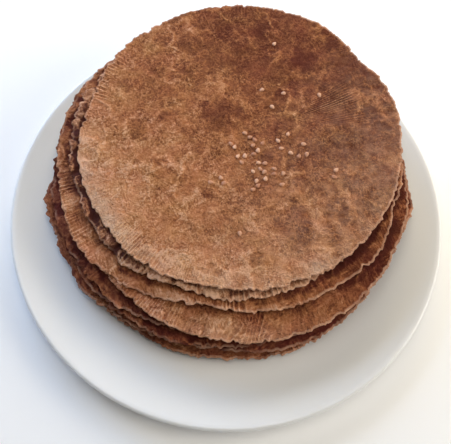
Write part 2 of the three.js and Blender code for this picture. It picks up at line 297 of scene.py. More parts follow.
BREADS = [
    Bread(
        "khakhra_1", 98.2, 0, 10.5, 0, 1.3, 1, 1100, [(297, 8, 1.2)],
        tone=0.48, combs=[Comb(303, 12, 1, 0.9)], **LOW_FINISH,
    ),
    Bread(
        "khakhra_2", 96.5, -9.8, 14.5, 0, 1.2, 1, 2900, [(183, 5, -3), (196, 7, 1.5), (230, 8, 1.5)],
        tone=0.34, **LOW_FINISH,
    ),
    Bread(
        "khakhra_3", 97.5, 6.8, 13, 0, 1.1, 1, 4200, [(323, 14, -3.6), (342, 9, -2.3), (359, 5, 1.5)],
        tone=0.24, rim=0.4, **LOW_FINISH,
    ),
    Bread(
        "khakhra_4", 97, -3.5, 13, 0.2, 1, 1, 6700, [(260, 8, 1.2)],
        tone=0.24, rim=0.4, **LOW_FINISH,
    ),
    Bread(
        "khakhra_5", 96, -7, 17.5, 0.4, 1, 1, 8100, [(179, 12, -2.5), (243, 7, 1.5)],
        tone=0.24, rim=0.4, **LOW_FINISH,
    ),
    Bread(
        "khakhra_6", 91.6, 6.3, 9.5, 0.6, 0.9, 0.7, 9900, [(280, 9, 0.8), (353, 6, 0.8)],
        tone=0.6, fade=(-0.22, 0), cover=0.2, shade_reach=5, crumple=0.5, grainy=0.45, gritty=1.6,
        combs=[Comb(243, 12, 1.1, 0.88, 320), Comb(280, 14, 0.9, 0.85, 190, 25)],
        flour=[(275, 18, 0.3)], roast_and_shade=[(270, 14, 0.04), (336, 26, 0.29)], redder=0.003,
    ),
    Bread(
        "khakhra_7", 96.8, -2.2, 26, 0.9, 0.9, 1, 11800,
        [(85, 25, -4.5), (122, 20, -5), (147, 10, -3.2), (160, 14, -1.2), (222, 16, 3.5), (267, 16, -4.5),
         (326, 11, 3), (344, 5, -1.5)],
        tone=0.61, fade=(0, -0.1), cover=0.36, shade_reach=5, frill=0.9, crumple=0.4, grainy=0.45, gritty=1.6,
        combs=[Comb(208, 16, 1.2, 0.92, 300), Comb(275, 6, 1.4, 0.9)],
        roast_and_shade=[(165, 16, 0.2), (189, 14, 0.24), (228, 20, 0.05), (324, 28, 0.44)], redder=0.003,
        blisters=[(-28, -87, 4, -0.9), (-18, -89, 4, -0.9)],
    ),
    Bread(
        "khakhra_8", 89, -2.2, 26.2, 1.4, 0.9, 1.2, 13100,
        [(157, 6, -2), (209, 5, -1.5), (236, 4, 1.5), (258, 9, -2.5)],
        tone=0.76, fade=(0, -0.18), cover=0.28, shade_reach=4, ragged=1.8, frill=1.2, crumple=2.4, ridges=230,
        combs=[Comb(238, 20, 1.5, 0.9, 210), Comb(276, 22, 1.7, 0.9, 190)],
        roast_and_shade=[(206, 34, 0.66), (165, 20, 0.2), (234, 14, 0.28)], grainy=0.8, gritty=2.2, greyer=0.08,
    ),
    Bread(
        "khakhra_9", 88.6, 2.2, 29.4, 2, 0.9, 0.6, 15700,
        [(19, 9, 1.2), (43, 9, -2.5), (75, 16, 1.5), (140, 6, 1), (172, 12, -1.8), (195, 16, 1.2),
         (240, 10, 1.5), (268, 10, -1.2), (295, 4, -1.4)],
        tone=0.345, darkest=0.1, fade=(-0.2, -0.24), edge_fade=0.1, film=(0.27, -0.16),
        ragged=0.9, frill=0.3, crumple=0, comb=0.1, gritty=0.9,
        combs=[
            Comb(160, 12, 1.6, 0.93, 250), Comb(25, 9, 2, 0.48, 250, -4, 0.8), Comb(240, 20, 1.3, 0.9, 320),
        ],
        flour=[(214, 18, 1.3), (303, 5, 0.9), (262, 30, 0.35)],
        blisters=[
            (-12, 13, 13, 0.85), (-37, 57, 7, 0.7), (-56, -3, 7, 0.7), (-68, -5, 4, 0.5),
            (-79, -14, 5, 0.35), (-22, -11, 4, 0.7), (-43, 7, 4, 0.4), (32, 53, 9, 0.6),
            (47, 66, 6, 0.45), (2, 29, 5, 0.35), (40, -5, 6, 0.35), (53, 14, 5, 0.4),
            (43, -26, 7, 0.45), (61, -24, 6, 0.6), (54, -38, 9, 0.8), (32, -52, 14, 0.8),
            (16, -71, 6, 0.5), (-32, -52, 5, 0.4), (-8, -79, 4, 0.4), (-12, -38, 7, 0.5),
            (6, 74, 8, 0.5), (-6, 57, 7, 0.5), (76, 15, 5, 0.5), (57, 40, 6, 0.4),
        ],
    ),
]

# Sesame seeds on the top khakhra, in pinches: x, y, spread and count, from the bread's middle
SEED_LENGTH = 3
SEED_WIDTH = 2.2
SEED_HEIGHT = 1.3
SEED_SPACING = 2.6
SEED_DRAW = 5
SEED_TAPER = 0.3  # how much narrower the seed is at its tip
SEED_LIFT = 0.4  # how high its middle lies over the face
SEED_SIZES = (0.9, 1.05)
SEED_AROUND = 14
SEED_ALONG = 10
PINCHES = [
    (4, -8, 7, 12), (16, -25, 7, 13), (27, -7, 8, 7), (-8, -30, 4, 3), (16, 26, 7, 3),
    (54, -21, 4, 2), (42, 30, 0, 1), (5, -58, 0, 1), (14, 63, 0, 1),
]

# Soft lights: azimuth from the right, elevation, power and colour
LIGHT_DISTANCE = 900
LIGHT_SIZE = 600
LIGHTS = {
    "right": (0, 30, 5.2, (1, 0.95, 0.855)),
    "top": (0, 90, 3.15, (1, 0.95, 0.87)),
    "window": (135, 30, 6.7, (0.42, 0.63, 1)),
    "back": (90, 30, 4.5, (1, 0.85, 0.6)),
}

# Studio: past the reach of the lights the floor glows, so that it stays pale out to the pale wall behind it
WHITE = (1, 1, 1, 1)
STUDIO_WHITE = 0.75  # how bright the glow and the wall are
FLOOR_GLOW = (0.3, 0.9)  # where the glow begins and is full, in metres from the middle
WALL_TOP = (10, 18)  # elevations between which the wall fades out


# Helpers for shapes

def random_from(seed):
    """Seeded random numbers from 0 to 1, the same as the solids are drawn with."""
    state = seed
    while True:
        state = (RANDOM_FACTOR * state + RANDOM_STEP) % RANDOM_RANGE
        yield state / RANDOM_RANGE


def smooth_step(low, high, value):
    """0 below low, 1 above high, with a smooth passage between."""
    along = np.clip((value - low) / (high - low), 0, 1)
    return along * along * (3 - 2 * along)


def wrapped(angle):
    """An angle brought to between -pi and pi."""
    return np.arctan2(np.sin(angle), np.cos(angle))


def noise_around(angle, rows, seed):
    """Smooth noise round a circle, the sum of rows of cells, weight and step from the seed."""
    total = np.zeros_like(angle)
    for cells, weight, step in rows:
        values = np.random.default_rng(seed + step).uniform(-1, 1, cells)
        place = (angle / FULL_TURN) % 1 * cells
        cell = np.floor(place).astype(int)
        along = smooth_step(0, 1, place - cell)
        total += weight * (values[cell % cells] * (1 - along) + values[(cell + 1) % cells] * along)
    return total


def noise_over(x, y, rows, seed):
    """Smooth noise over a plane, the sum of rows of cell size, weight and step from the seed."""
    total = np.zeros_like(x)
    for cell_size, weight, step in rows:
        values = np.random.default_rng(seed + step).uniform(-1, 1, (NOISE_CELLS, NOISE_CELLS))
        across = (NOISE_COSINE * x - NOISE_SINE * y) / cell_size
        along = (NOISE_SINE * x + NOISE_COSINE * y) / cell_size
        column = np.floor(across).astype(int)
        row = np.floor(along).astype(int)
        right = smooth_step(0, 1, across - column)
        up = smooth_step(0, 1, along - row)
        this, after = [(column + more) % NOISE_CELLS for more in (0, 1)]
        lower, upper = [
            values[this, at % NOISE_CELLS] * (1 - right) + values[after, at % NOISE_CELLS] * right
            for at in (row, row + 1)
        ]
        total += weight * (lower * (1 - up) + upper * up)
    return total


def shown_around(angle, average, rows, seed):
    """How much of a form shows round an edge, from 0 to 1, where rows of noise make it come and go."""
    return np.clip(average + noise_around(angle, rows, seed), 0, 1)


def stretches(places, angle):
    """Sum of soft-ended stretches round an edge, each given by angle, half width and strength."""
    total = np.zeros_like(angle)
    for at, half_width, strength in places:
        away = wrapped(angle - math.radians(at))
        total += strength * np.exp(-(away / math.radians(half_width)) ** 2)
    return total


def loop_faces(first, count, second, next_count):
    """Faces between two closed loops of points: as many in both, or twice as many in one."""
    i = np.arange(count)
    if next_count == count:
        j = (i + 1) % count
        return np.stack((first + i, second + i, second + j, first + j), axis=-1).tolist()
    if next_count == 2 * count:
        j = (i + 1) % count
        start, half, end = second + 2 * i, second + 2 * i + 1, second + (2 * i + 2) % next_count
        triangles = ((first + i, start, half), (first + i, half, first + j), (first + j, half, end))
        return np.concatenate([np.stack(corners, axis=-1) for corners in triangles]).tolist()
    return [face[::-1] for face in loop_faces(second, next_count, first, count)]


def fan_faces(middle, first, count, outward):
    """Triangles from a middle point to a closed loop."""
    i = np.arange(count)
    j = (i + 1) % count
    corners = (first + i, first + j) if outward else (first + j, first + i)
    return np.stack((np.full(count, middle), *corners), axis=-1).tolist()


def skin_faces(counts):
    """Faces of a closed skin over loops of points, from their counts. Its two end points come last."""
    firsts = np.cumsum([0] + counts)
    faces = fan_faces(firsts[-1], 0, counts[0], True)
    for loop in range(len(counts) - 1):
        faces += loop_faces(firsts[loop], counts[loop], firsts[loop + 1], counts[loop + 1])
    return faces + fan_faces(firsts[-1] + 1, firsts[-2], counts[-1], False)


def mesh_object(name, points, faces):
    """A smooth mesh object from points in millimetres."""
    mesh = bpy.data.meshes.new(name)
    mesh.from_pydata((np.asarray(points) * MM).tolist(), [], faces)
    mesh.shade_smooth()
    piece = bpy.data.objects.new(name, mesh)
    bpy.context.scene.collection.objects.link(piece)
    return piece


def set_mask(piece, name, values):
    """Keep a number for each point of a mesh, for its material to read."""
    attribute = piece.data.attributes.new(name, "FLOAT", "POINT")
    attribute.data.foreach_set("value", np.asarray(values, dtype=np.float32))


# Plate

def plate_top(radius):
    """Height of the plate's upper face at a distance from its middle."""
    out = np.clip((radius - PLATE_FLOOR_RADIUS) / (LIP_RADIUS - PLATE_FLOOR_RADIUS), 0, 1)
    return PLATE_FLOOR_HEIGHT + (PLATE_RIM_HEIGHT - PLATE_FLOOR_HEIGHT) * out ** PLATE_RISE_POWER


def plate_profile():
    """Radius and height along the plate's outline: upper face, round lip, outer wall and foot ring."""
    floor_under = PLATE_FLOOR_HEIGHT - PLATE_WALL
    inner_foot = FOOT_RADIUS - FOOT_WIDTH
    profile = [
        (inner_foot - FOOT_ROUND, floor_under),
        (inner_foot, floor_under - FOOT_ROUND),
        (inner_foot, FOOT_ROUND),
        (inner_foot + FOOT_ROUND, 0),
        (FOOT_RADIUS - FOOT_ROUND, 0),
        (FOOT_RADIUS, FOOT_ROUND),
        (FOOT_RADIUS + FOOT_WIDTH / 2, floor_under),
    ]
    rises = np.linspace(PLATE_FLOOR_RADIUS, LIP_RADIUS, PLATE_RISE_STEPS + 1)
    profile += [(r, plate_top(r) - PLATE_WALL) for r in rises[1:-1]]
    for step in range(LIP_STEPS + 1):
        turn = math.pi * (step / LIP_STEPS - 0.5)
        radius = LIP_RADIUS + PLATE_WALL / 2 * math.cos(turn)
        profile.append((radius, PLATE_RIM_HEIGHT + PLATE_WALL / 2 * (math.sin(turn) - 1)))
    profile += [(r, plate_top(r)) for r in rises[-2::-1]]
    return profile[::-1]


def plate_object():
    """The plate turned on a lathe."""
    angle = np.arange(PLATE_SEGMENTS) * FULL_TURN / PLATE_SEGMENTS
    profile = plate_profile()
    points = [(radius * math.cos(a), radius * math.sin(a), z) for radius, z in profile for a in angle]
    points += [(0, 0, PLATE_FLOOR_HEIGHT), (0, 0, PLATE_FLOOR_HEIGHT - PLATE_WALL)]
    return mesh_object("plate_glazed", points, skin_faces([PLATE_SEGMENTS] * len(profile)))


# Khakhra

def edge_radius(bread, angle):
    """Distance from a bread's middle to its edge."""
    return bread.radius + stretches(bread.bulges, angle)


def bread_rise(bread, share, angle):
    """Height of a bread's middle surface over its centre, at a share of the way out to the edge."""
    out = share * edge_radius(bread, angle)
    rise = out * np.cos(angle) * math.tan(math.radians(bread.tilt_right))
    rise = rise + out * np.sin(angle) * math.tan(math.radians(bread.tilt_back))
    random = random_from(bread.seed)
    for count, height in zip(WAVE_COUNTS, WAVE_HEIGHTS):
        phase = FULL_TURN * next(random)
        wave = height * bread.ruffle * share ** (1 + count / WAVE_REACH) * np.sin(count * angle + phase)
        rise = rise + wave
    return rise


def half_thickness(share):
    """Half the thickness of a bread, less towards the edge."""
    return (BREAD_THICKNESS - (BREAD_THICKNESS - BREAD_EDGE_THICKNESS) * share ** BREAD_TAPER_POWER) / 2


def set_height(bread):
    """Take the height of a bread's middle from its solid, whose lowest point the imported part gives."""
    angle, share = np.meshgrid(np.arange(SOLID_SEGMENTS) * FULL_TURN / SOLID_SEGMENTS, SOLID_RINGS)
    lowest = np.min(bread_rise(bread, share, angle) - half_thickness(share))
    bread.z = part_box(bread.name)[0].z / MM - min(lowest, -half_thickness(0))


def face_height(bread, x, y, side):
    """Height of a bread's upper (1) or lower (-1) face at places in the plate's frame, and where it is."""
    angle = np.arctan2(y - bread.y, x - bread.x)
    share = np.hypot(x - bread.x, y - bread.y) / edge_radius(bread, angle)
    inside = share < EDGE_MARGIN
    share = np.minimum(share, 1)
    return bread.z + bread_rise(bread, share, angle) + side * half_thickness(share), inside


def bare_width(bread, x, y):
    """How far each place lies outside the edges of all breads above, below 0 under one of them."""
    width = np.full_like(x, PLATE_RADIUS)
    for other in BREADS[BREADS.index(bread) + 1:]:
        angle = np.arctan2(y - other.y, x - other.x)
        out = np.hypot(x - other.x, y - other.y)
        width = np.minimum(width, out - edge_radius(other, angle) - ragged_edge(other, angle))
    return width


def free_room(bread, x, y, middle, half):
    """How far the relief of a bread may go down and up at each place and still clear its neighbours."""
    down = middle - half - plate_top(np.hypot(x, y))
    up = np.full_like(x, MOST_RELIEF / GAP_SHARE)
    at = BREADS.index(bread)
    for other in BREADS[:at]:
        height, inside = face_height(other, x, y, 1)
        down = np.where(inside, np.minimum(down, middle - half - height), down)
    for other in BREADS[at + 1:]:
        height, inside = face_height(other, x, y, -1)
        up = np.where(inside, np.minimum(up, height - middle - half), up)
    return [np.clip(GAP_SHARE * room, LEAST_RELIEF, MOST_RELIEF) for room in (down, up)]


def all_blisters(bread):
    """The blisters that are given, and fainter ones drawn at random."""
    random = np.random.default_rng(bread.seed)
    blisters = list(bread.blisters)
    for _ in range(bread.spots):
        out = bread.radius * math.sqrt(random.uniform(0, 1))
        around = random.uniform(0, FULL_TURN)
        size = random.uniform(*SPOT_RADII)
        darkness = random.uniform(0, SPOT_MOST_DARK)
        blisters.append((out * math.cos(around), out * math.sin(around), size, darkness))
    return blisters


def blister_relief(bread, x, y):
    """Domes of the blisters, how dark each is, and the paler ring about it."""
    domes = np.zeros_like(x)
    dark = np.zeros_like(x)
    ring = np.zeros_like(x)
    wobble = noise_over(x, y, BLISTER_WOBBLES, bread.seed)
    for at_x, at_y, radius, darkness in all_blisters(bread):
        near = np.abs(x - at_x) + np.abs(y - at_y) < BLISTER_REACH * radius
        away = np.hypot(x[near] - at_x, y[near] - at_y) / radius + wobble[near]
        domes[near] = np.maximum(domes[near], BLISTER_HEIGHT * np.clip(1 - away ** 2, 0, 1))
        dark[near] += darkness * (1 - smooth_step(*BLISTER_FADE, away))
        ring[near] += RING_STRENGTH * abs(darkness) * np.exp(-((away - RING_AT) / RING_WIDTH) ** 2)
    return domes, np.clip(dark, -1, 1), np.clip(ring, 0, 1)


def torn_steps(angle, count, seed):
    """Long slanting steps round an edge, from -0.5 to 0.5, each with its own size and lean."""
    sizes = np.random.default_rng(seed).uniform(-1, 1, count)
    place = (angle / FULL_TURN) % 1 * count + noise_around(angle, ((count, TORN_WANDER, 1),), seed)
    step = np.floor(place).astype(int) % count
    along = place - np.floor(place)
    drop = (1 - along) / (1 - TORN_SLANT)
    return sizes[step] * (np.where(along < TORN_SLANT, along / TORN_SLANT, drop) - 0.5)


def ragged_edge(bread, angle):
    """How far the crisp edge leaves its smooth outline: steps, scallops, small teeth and a few chips."""
    warp = noise_around(angle, SCALLOP_WARPS, bread.seed)
    depth = SCALLOP_DEPTH + noise_around(angle, SCALLOP_CHANGES, bread.seed)
    scallops = depth * (np.abs(np.sin(SCALLOPS / 2 * angle + warp)) ** SCALLOP_POWER - SCALLOP_MEAN)
    teeth = noise_around(angle, TEETH, bread.seed)
    steps = sum(size * torn_steps(angle, count, bread.seed + step) for count, size, step in TORN_STEPS)
    random = np.random.default_rng(bread.seed + 4)
    chips = []
    for _ in range(CHIPS):
        at = random.uniform(0, 360)
        chips.append((at, random.uniform(*CHIP_HALF_WIDTHS), -random.uniform(*CHIP_DEPTHS)))
    lumps = crumples(bread, np.ones_like(angle), angle)[0]
    pushed = LUMP_SCALLOP * bread.crumple * on_the_left(angle) * (lumps - LUMP_SCALLOP_FROM)
    return bread.ragged * (scallops + teeth) + steps + stretches(chips, angle) + pushed


def comb_turn(bread, count, lean, share, angle):
    """The place in a run of press ridges, a full turn for each, unevenly spaced."""
    leaning = angle - math.tan(math.radians(lean)) * (1 - share)
    return count * leaning + noise_around(angle, RIDGE_SPACINGS, bread.seed)


def press_combs(bread, share, angle):
    """How strong the press ridges are across the edge, in uneven stretches, and the place in their run."""
    end = share + noise_around(angle, RIDGE_ENDS, bread.seed)
    faint = shown_around(angle, FAINT_SHOWN, FAINT_CHANGES, bread.seed)
    strength = faint * smooth_step(*FAINT_RIDGES, end)
    turn = comb_turn(bread, bread.ridges, 0, share, angle)
    for comb in bread.combs:
        here = stretches([(comb.at, comb.half_width, comb.strength)], angle)
        here = here * smooth_step(comb.inner - RIDGE_FADE, comb.inner + RIDGE_FADE, end)
        here = here * (1 - smooth_step(comb.outer - RIDGE_FADE, comb.outer + RIDGE_FADE, end))
        turn = np.where(here > strength, comb_turn(bread, comb.count, comb.lean, share, angle), turn)
        strength = np.maximum(strength, here)
    return strength * shown_around(angle, RIDGE_SHOWN, RIDGE_CHANGES, bread.seed), turn


def on_the_left(angle):
    """1 on the left, where the breads have buckled, and 0 on the right."""
    return np.clip(LEFT_STRENGTH - LEFT_STRENGTH * np.cos(angle), 0, 1)


def crumples(bread, share, angle):
    """Lumps along a bread's buckled edge, the lines round their tops, which get a painted highlight, and
    the creases between, which get painted shade.
    """
    cells = round(FULL_TURN * bread.radius / LUMP_LENGTH)
    place = (angle / FULL_TURN) % 1 * cells
    place = place + noise_around(angle, ((2 * cells, LUMP_WANDER, 27),), bread.seed)
    depth = share * bread.radius / LUMP_WIDTH
    shifts = np.random.default_rng(bread.seed + 26).uniform(*LUMP_MIDDLES, (2, cells, cells))
    away = np.full_like(share, math.inf)
    for column in (np.floor(place).astype(int) + step for step in (-1, 0, 1)):
        for row in (np.floor(depth).astype(int) + step for step in (-1, 0, 1)):
            at_place = column + shifts[0, column % cells, row % cells]
            at_depth = row + shifts[1, column % cells, row % cells]
            away = np.minimum(away, np.hypot(place - at_place, depth - at_depth))
    lumps = np.clip(1 - LUMP_STEEPNESS * away ** 2, 0, 1)
    outlines = np.exp(-((away - OUTLINE_AT) / OUTLINE_WIDTH) ** 2)
    return lumps, outlines, smooth_step(*CREASE_FADE, away)


def wrinkles(bread, x, y):
    """Thin raised lines that wander over the bread, about the blisters and between them."""
    path = noise_over(x, y, WRINKLE_PATHS, bread.seed)
    shown = np.clip(WRINKLE_SHOWN + noise_over(x, y, WRINKLE_CHANGES, bread.seed), 0, 1)
    return shown * np.exp(-(path / WRINKLE_WIDTH) ** 2)


def small_relief(bread, share, angle, x, y):
    """Relief finer than the solid's waves, and the masks that go with it."""
    frill = bread.frill * share ** FRILL_POWER * noise_around(angle, FRILLS, bread.seed)
    comb, turn = press_combs(bread, share, angle)
    ridges = comb * (np.exp(RIDGE_SHARPNESS * (np.sin(turn) - 1)) - RIDGE_MEAN)
    swell = noise_over(x, y, SWELLS, bread.seed)
    domes, dark, ring = blister_relief(bread, x, y)
    lines = wrinkles(bread, x, y)
    lumps, outlines, creases = crumples(bread, share, angle)
    buckled = smooth_step(*LUMPS_FROM, share) * on_the_left(angle)
    relief = frill + bread.comb * ridges + swell + domes + WRINKLE_HEIGHT * lines + RING_HEIGHT * ring
    relief += bread.crumple * buckled * (lumps - LUMP_MEAN)
    # Tones that follow the relief: painted light and shade on the frill, partly on the wrinkles
    paler = PAINTED_FRILL_LIGHT * frill + PALER_WRINKLE * lines + PALER_RING * ring + PALER_BLISTER * dark
    # Painted light and shade on the buckled lumps: paler tops, a painted highlight round them and painted
    # shade in the creases
    lump_light_and_shade = PAINTED_LUMP_LIGHT * lumps + PAINTED_OUTLINE_HIGHLIGHT * outlines + PAINTED_CREASE_SHADE * creases
    paler += min(bread.crumple, MOST_BUCKLED) * buckled * lump_light_and_shade
    return relief, {"pale": paler, "comb": comb, "turn": turn}


def lifted(bread, share, angle, side):
    """Places on a bread's face (side 1 or -1) or edge (0) with its relief, and the relief's masks."""
    out = share * edge_radius(bread, angle)
    out = out + ragged_edge(bread, angle) * smooth_step(TEETH_FROM, 1, share) + EDGE_ROUND * (side == 0)
    x = out * np.cos(angle)
    y = out * np.sin(angle)
    half = half_thickness(share)
    middle = bread.z + bread_rise(bread, share, angle)
    relief, masks = small_relief(bread, share, angle, x, y)
    down, up = free_room(bread, x + bread.x, y + bread.y, middle, half)
    room = np.where(relief > 0, up, down)
    z = middle + side * half + room * np.tanh(relief / room)
    return x, y, z, masks


def bread_rings(zones):
    """Share, side and number of spokes of each loop of points, from the upper middle to the lower."""
    rings = []
    inner = 0
    for outer, count, spokes in zones:
        rings += [(inner + (outer - inner) * step / count, 1, spokes) for step in range(1, count + 1)]
        inner = outer
    spokes = rings[-1][2]
    rings.append((1, 0, spokes))
    rings += [(share, -1, spokes // fewer) for share, fewer in UNDER_RINGS]
    return rings


def add_masks(bread, share, angle, side, x, y, masks):
    """Bring a bread's tones into its mask, some of them painted light and shade, and add the masks of its
    flour and pale edge.
    """
    pale = masks["pale"]
    # Paler towards one side: partly an uneven roast, partly painted light and shade across the bread
    pale += bread.tone + (bread.fade[0] * x + bread.fade[1] * y) / bread.radius
    pale += bread.edge_fade * share ** 2
    # Painted shade under the breads above, reaching a few millimetres out past their edges, more unevenly
    # on the left
    everywhere, more_left = PAINTED_SHADE_UNEVEN
    uneven = everywhere + more_left * on_the_left(angle)
    bare = bare_width(bread, x + bread.x, y + bread.y)
    bare += uneven * noise_over(x, y, PAINTED_SHADE_CHANGES, bread.seed)
    pale -= bread.cover * (1 - smooth_step(PAINTED_SHADE_FROM * bread.shade_reach, bread.shade_reach, bare))
    # Darker stretches round the edge: partly a darker roast, partly painted shade on the stack's shaded
    # sides
    pale -= stretches(bread.roast_and_shade, angle)
    film = np.clip((bread.film[0] * x + bread.film[1] * y) / bread.radius, 0, 1)
    masks["flour"] = stretches(bread.flour, angle) * smooth_step(*FLOUR_SHARES, share) + film
    # The pale edge, partly flour and partly a painted highlight that is stronger on the lit right
    shown = shown_around(angle, bread.rim + RIM_LIGHT_TURN * np.cos(angle), RIM_CHANGES, bread.seed)
    masks["rim"] = shown * np.where(side == 0, 1, smooth_step(*RIM_SHARES, share))


def bread_object(bread, zones):
    """A khakhra as a fine mesh: upper face, round edge and under face, with masks for its material."""
    rings = bread_rings(zones)
    share = np.concatenate([np.full(spokes, ring_share) for ring_share, _, spokes in rings])
    side = np.concatenate([np.full(spokes, ring_side) for _, ring_side, spokes in rings])
    angle = np.concatenate([np.arange(spokes) * FULL_TURN / spokes for _, _, spokes in rings])

    x, y, z, masks = lifted(bread, share, angle, side)
    points = np.stack((x + bread.x, y + bread.y, z), axis=-1)
    centres = [(bread.x, bread.y, bread.z + end * half_thickness(0)) for end in (1, -1)]
    faces = skin_faces([spokes for _, _, spokes in rings])
    piece = mesh_object(bread.name + "_bread", np.concatenate((points, centres)), faces)

    add_masks(bread, share, angle, side, x, y, masks)
    for name, values in masks.items():
        at_middle = bread.tone if name == "pale" else 0
        set_mask(piece, name, np.concatenate((values, (at_middle, at_middle))))
    return piece


# Sesame seeds

def seed_places():
    """Where the seeds lie on the top bread, and how each is turned, drawn as for the solids."""
    random = random_from(SEED_DRAW)
    places = []
    for pinch_x, pinch_y, spread, count in PINCHES:
        left = count
        while left > 0:
            out = spread * math.sqrt(2 * next(random))
            around = FULL_TURN * next(random)
            x = pinch_x + out * math.cos(around)
            y = pinch_y + out * math.sin(around)
            turn = FULL_TURN * next(random)
            if all(math.hypot(x - other[0], y - other[1]) > SEED_SPACING for other in places):
                places.append((x, y, turn))
                left -= 1
    return places


def seed_shape():
    """Points and faces of one drop-shaped seed that lies along X, about its middle."""
    points = []
    around = np.arange(SEED_AROUND) * FULL_TURN / SEED_AROUND
    for step in range(1, SEED_ALONG + 1):
        along = math.pi * step / (SEED_ALONG + 1)
        girth = math.sin(along) * (1 - SEED_TAPER * math.cos(along))
        x = np.full(SEED_AROUND, math.cos(along) * SEED_LENGTH / 2)
        y = girth * np.cos(around) * SEED_WIDTH / 2
        z = girth * np.sin(around) * SEED_HEIGHT / 2
        points.append(np.stack((x, y, z), axis=-1))
    points.append([(SEED_LENGTH / 2, 0, 0), (-SEED_LENGTH / 2, 0, 0)])
    return np.concatenate(points), skin_faces([SEED_AROUND] * SEED_ALONG)


def seeds_object(bread):
    """All sesame seeds as one mesh, part sunk in the bread's upper face."""
    random = np.random.default_rng(SEED_DRAW)
    shape, shape_faces = seed_shape()
    points = []
    faces = []
    tints = []
    for x, y, turn in seed_places():
        angle = np.array([math.atan2(y, x)])
        share = math.hypot(x, y) / edge_radius(bread, angle)
        height = lifted(bread, share, angle, np.ones(1))[2]
        turned = shape * random.uniform(*SEED_SIZES) @ np.array(Matrix.Rotation(-turn, 3, "Z"))
        first = len(points) * len(shape)
        points.append(turned + (bread.x + x, bread.y + y, height[0] + SEED_LIFT))
        faces += [[first + corner for corner in face] for face in shape_faces]
        tints.append(np.full(len(shape), random.uniform(0, 1)))
    piece = mesh_object("sesame_seeds", np.concatenate(points), faces)
    set_mask(piece, "tint", np.concatenate(tints))
    return piece


# Materials

def linear(red, green, blue):
    """A colour read as 0 to 255 on screen, as the shader takes it."""
    values = []
    for value in (red, green, blue):
        share = value / 255
        values.append(share / 12.92 if share <= 0.04045 else ((share + 0.055) / 1.055) ** 2.4)
    return (*values, 1)


def new_material(name):
    """A new material with its node tree and its shader."""
    material = bpy.data.materials.new(name)
    material.use_nodes = True
    tree = material.node_tree
    return material, tree, tree.nodes["Principled BSDF"]


def put(tree, socket, value):
    """Link a socket to another, or give it a value."""
    if isinstance(value, bpy.types.NodeSocket):
        tree.links.new(value, socket)
    else:
        socket.default_value = value


def put_all(tree, node, values):
    """Link the inputs of a node, by name or number, or give them values."""
    for key, value in values.items():
        put(tree, node.inputs[key], value)


def maths(tree, operation, *values):
    """A sum, product or the like of numbers."""
    node = tree.nodes.new("ShaderNodeMath")
    node.operation = operation
    put_all(tree, node, dict(enumerate(values)))
    return node.outputs[0]


def noise(tree, scale, detail, shift=0, roughness=0.55, turn=0, stretch=1):
    """Noise at a scale for each metre, about 0.5, that may be drawn out along a turned way."""
    coordinates = tree.nodes.new("ShaderNodeTexCoord")
    mapping = tree.nodes.new("ShaderNodeMapping")
    mapping.vector_type = "TEXTURE"
    put_all(tree, mapping, {
        "Vector": coordinates.outputs["Object"],
        "Location": [part * shift for part in SHIFT_WAY],
        "Rotation": (0, 0, turn),
        "Scale": (stretch, 1, 1),
    })
    node = tree.nodes.new("ShaderNodeTexNoise")
    put_all(tree, node, {
        "Vector": mapping.outputs["Vector"], "Scale": scale, "Detail": detail, "Roughness": roughness,
    })
    return node.outputs["Fac"]


def mask(tree, name):
    """A number kept on the mesh's points."""
    node = tree.nodes.new("ShaderNodeAttribute")
    node.attribute_name = name
    return node.outputs["Fac"]


def ramp(tree, value, stops):
    """Colours for a number: each stop is a place and a colour from 0 to 255."""
    node = tree.nodes.new("ShaderNodeValToRGB")
    elements = node.color_ramp.elements
    while len(elements) < len(stops):
        elements.new(1)
    for element, (place, colour) in zip(elements, stops):
        element.position = place
        element.color = linear(*colour)
    put(tree, node.inputs["Fac"], value)
    return node.outputs["Color"]


def passage(tree, value, start, end, at_start, at_end):
    """A number that goes smoothly from one value to another while a given number goes from start to end."""
    node = tree.nodes.new("ShaderNodeMapRange")
    node.interpolation_type = "SMOOTHSTEP"
    put_all(tree, node, {
        "Value": value, "From Min": start, "From Max": end, "To Min": at_start, "To Max": at_end,
    })
    return node.outputs["Result"]


def mix(tree, factor, first, second):
    """A mix of two colours."""
    node = tree.nodes.new("ShaderNodeMix")
    node.data_type = "RGBA"
    put_all(tree, node, {0: factor, 6: first, 7: second})
    return node.outputs[2]


def toned(tree, colour, value, redder, greyer):
    """A colour made greyer and turned towards red, and a little to and fro by a noise."""
    node = tree.nodes.new("ShaderNodeHueSaturation")
    hue = maths(tree, "MULTIPLY_ADD", value, HUE_SPREAD, 0.5 - HUE_SPREAD / 2 - redder)
    put_all(tree, node, {"Hue": hue, "Saturation": 1 - greyer, "Color": colour})
    return node.outputs["Color"]


def bump(tree, relief, strength, height):
    """A normal from a relief whose unit is a height."""
    node = tree.nodes.new("ShaderNodeBump")
    put_all(tree, node, {"Strength": strength, "Distance": height * MM, "Height": relief})
    return node.outputs["Normal"]


def about(tree, value, amount):
    """A noise about 0.5 turned into one about 0, times an amount."""
    return maths(tree, "MULTIPLY_ADD", value, amount, -amount / 2)


def fibres(tree, scale, shift):
    """Thin wandering lines, 1 along their middles: where a noise crosses its mean."""
    away = maths(tree, "ABSOLUTE", maths(tree, "SUBTRACT", noise(tree, scale, 3, shift), 0.5))
    return maths(tree, "MAXIMUM", maths(tree, "MULTIPLY_ADD", away, -1 / FIBRE_WIDTH, 1), 0)


